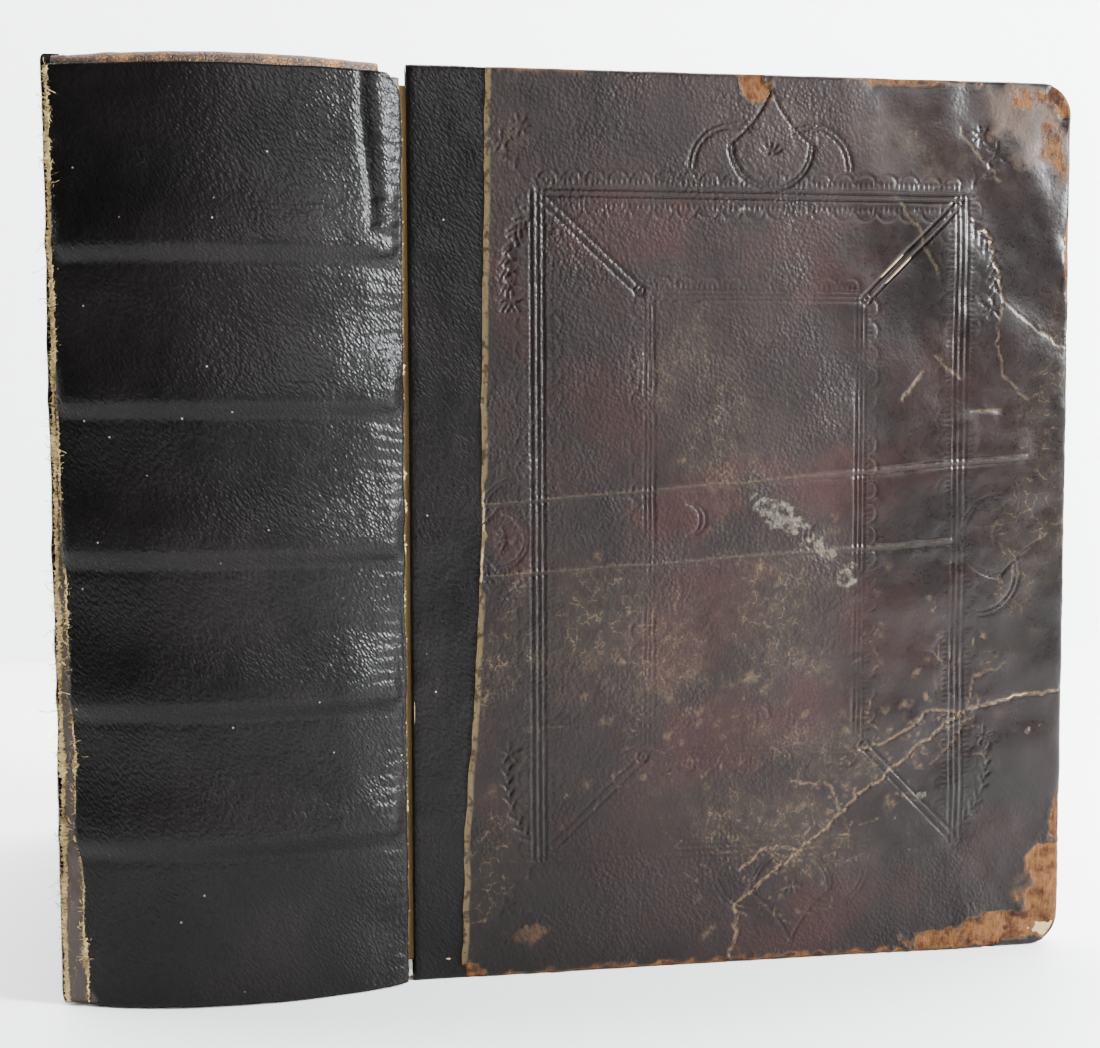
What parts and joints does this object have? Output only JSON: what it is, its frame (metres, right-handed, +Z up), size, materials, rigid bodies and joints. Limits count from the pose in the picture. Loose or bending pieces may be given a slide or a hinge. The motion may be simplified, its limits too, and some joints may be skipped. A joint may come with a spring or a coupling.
{
  "type": "prayer book",
  "caption": "Thick old leather-bound prayer book with raised spine bands and blind-tooled boards, standing on its tail with the front board opened square to the spine.",
  "frame": {"origin": "centre of the standing book's bounding box, on the surface it stands on", "axes": "+X from the spine along the opened front board towards its fore-edge, +Y from the spine into the leaves towards the fore-edge of the text block, +Z up from tail to head"},
  "size_m": [0.2848, 0.2044, 0.25],
  "materials": {
    "text_paper": "matt laid paper, toned by age",
    "endpaper": "matt laid paper, foxed",
    "lining_paper": "glued waste paper",
    "pasteboard": "pressed pasteboard",
    "black_leather": "semi-gloss pebbled goatskin",
    "brown_leather": "worn polished calf, blind tooled",
    "worn_tan_leather": "dry, crazed and flaking",
    "hemp_cord": "twisted hemp",
    "linen_thread": "waxed linen",
    "endband_silk": "faded two-colour silk over a core"
  },
  "bodies": {
    "text_block": {"gathering_01": "text_paper", "gathering_02": "text_paper", "gathering_03": "text_paper", "gathering_04": "text_paper", "gathering_05": "text_paper", "gathering_06": "text_paper", "gathering_07": "text_paper", "gathering_08": "text_paper", "gathering_09": "text_paper", "gathering_10": "text_paper", "gathering_11": "text_paper", "gathering_12": "text_paper", "gathering_13": "text_paper", "gathering_14": "text_paper", "gathering_15": "text_paper", "gathering_16": "text_paper", "gathering_17": "text_paper", "gathering_18": "text_paper", "gathering_19": "text_paper", "gathering_20": "text_paper", "gathering_21": "text_paper", "gathering_22": "text_paper", "gathering_23": "text_paper", "gathering_24": "text_paper", "sewing_cord_1": "hemp_cord", "sewing_cord_2": "hemp_cord", "sewing_cord_3": "hemp_cord", "sewing_cord_4": "hemp_cord", "sewing_cord_5": "hemp_cord", "spine_lining": "lining_paper", "kettle_stitches": "linen_thread", "headband": "endband_silk", "tailband": "endband_silk", "headcap": "worn_tan_leather", "tailcap": "worn_tan_leather", "spine_leather": "black_leather", "front_leaf_guards": "text_paper", "rear_leaf_guards": "text_paper", "front_inner_joint": "endpaper", "rear_inner_joint": "endpaper"},
    "front_board": {"front_board_core": "pasteboard", "front_cover_leather": "brown_leather", "front_joint_strip": "black_leather", "front_pastedown": "endpaper", "front_cord_slips": "hemp_cord"},
    "rear_board": {"rear_board_core": "pasteboard", "rear_cover_leather": "brown_leather", "rear_joint_strip": "black_leather", "rear_pastedown": "endpaper", "rear_cord_slips": "hemp_cord"},
    "front_free_endpaper_sheet": {"front_free_endpaper": "endpaper"},
    "front_leaf_1_sheet": {"front_leaf_1": "text_paper"},
    "front_leaf_2_sheet": {"front_leaf_2": "text_paper"},
    "front_leaf_3_sheet": {"front_leaf_3": "text_paper"},
    "front_leaf_4_sheet": {"front_leaf_4": "text_paper"},
    "rear_free_endpaper_sheet": {"rear_free_endpaper": "endpaper"},
    "rear_leaf_1_sheet": {"rear_leaf_1": "text_paper"},
    "rear_leaf_2_sheet": {"rear_leaf_2": "text_paper"}
  },
  "joints": [
    {"name": "front_board_hinge", "type": "hinge", "parent": "text_block", "child": "front_board", "pos_m": [-0.04865, -0.08878, 0.125], "axis": [0, 0, -1], "range_deg": [-90, 90], "deforming": ["front_inner_joint"]},
    {"name": "rear_board_hinge", "type": "hinge", "parent": "text_block", "child": "rear_board", "pos_m": [-0.14255, -0.08878, 0.125], "axis": [0, 0, 1], "range_deg": [0, 180], "deforming": ["rear_inner_joint"]},
    {"name": "front_free_endpaper_turn", "type": "hinge", "parent": "text_block", "child": "front_free_endpaper_sheet", "pos_m": [-0.05525, -0.08718, 0.125], "axis": [0, 0, -1], "range_deg": [-45, 45]},
    {"name": "front_leaf_1_turn", "type": "hinge", "parent": "text_block", "child": "front_leaf_1_sheet", "pos_m": [-0.05595, -0.08718, 0.125], "axis": [0, 0, -1], "range_deg": [-31.5, 31.5]},
    {"name": "front_leaf_2_turn", "type": "hinge", "parent": "text_block", "child": "front_leaf_2_sheet", "pos_m": [-0.05665, -0.08718, 0.125], "axis": [0, 0, -1], "range_deg": [-21.6, 21.6]},
    {"name": "front_leaf_3_turn", "type": "hinge", "parent": "text_block", "child": "front_leaf_3_sheet", "pos_m": [-0.05735, -0.08718, 0.125], "axis": [0, 0, -1], "range_deg": [-13.5, 13.5]},
    {"name": "front_leaf_4_turn", "type": "hinge", "parent": "text_block", "child": "front_leaf_4_sheet", "pos_m": [-0.05805, -0.08718, 0.125], "axis": [0, 0, -1], "range_deg": [-6.3, 6.3]},
    {"name": "rear_free_endpaper_turn", "type": "hinge", "parent": "text_block", "child": "rear_free_endpaper_sheet", "pos_m": [-0.13465, -0.08718, 0.125], "axis": [0, 0, 1], "range_deg": [0, 90]},
    {"name": "rear_leaf_1_turn", "type": "hinge", "parent": "text_block", "child": "rear_leaf_1_sheet", "pos_m": [-0.13395, -0.08718, 0.125], "axis": [0, 0, 1], "range_deg": [0, 54]},
    {"name": "rear_leaf_2_turn", "type": "hinge", "parent": "text_block", "child": "rear_leaf_2_sheet", "pos_m": [-0.13325, -0.08718, 0.125], "axis": [0, 0, 1], "range_deg": [0, 27]}
  ],
  "couplings": [
    {"joint": "front_free_endpaper_turn", "follows": "front_board_hinge", "ratio": 0.5},
    {"joint": "front_leaf_1_turn", "follows": "front_board_hinge", "ratio": 0.35},
    {"joint": "front_leaf_2_turn", "follows": "front_board_hinge", "ratio": 0.24},
    {"joint": "front_leaf_3_turn", "follows": "front_board_hinge", "ratio": 0.15},
    {"joint": "front_leaf_4_turn", "follows": "front_board_hinge", "ratio": 0.07},
    {"joint": "rear_free_endpaper_turn", "follows": "rear_board_hinge", "ratio": 0.5},
    {"joint": "rear_leaf_1_turn", "follows": "rear_board_hinge", "ratio": 0.3},
    {"joint": "rear_leaf_2_turn", "follows": "rear_board_hinge", "ratio": 0.15}
  ]
}
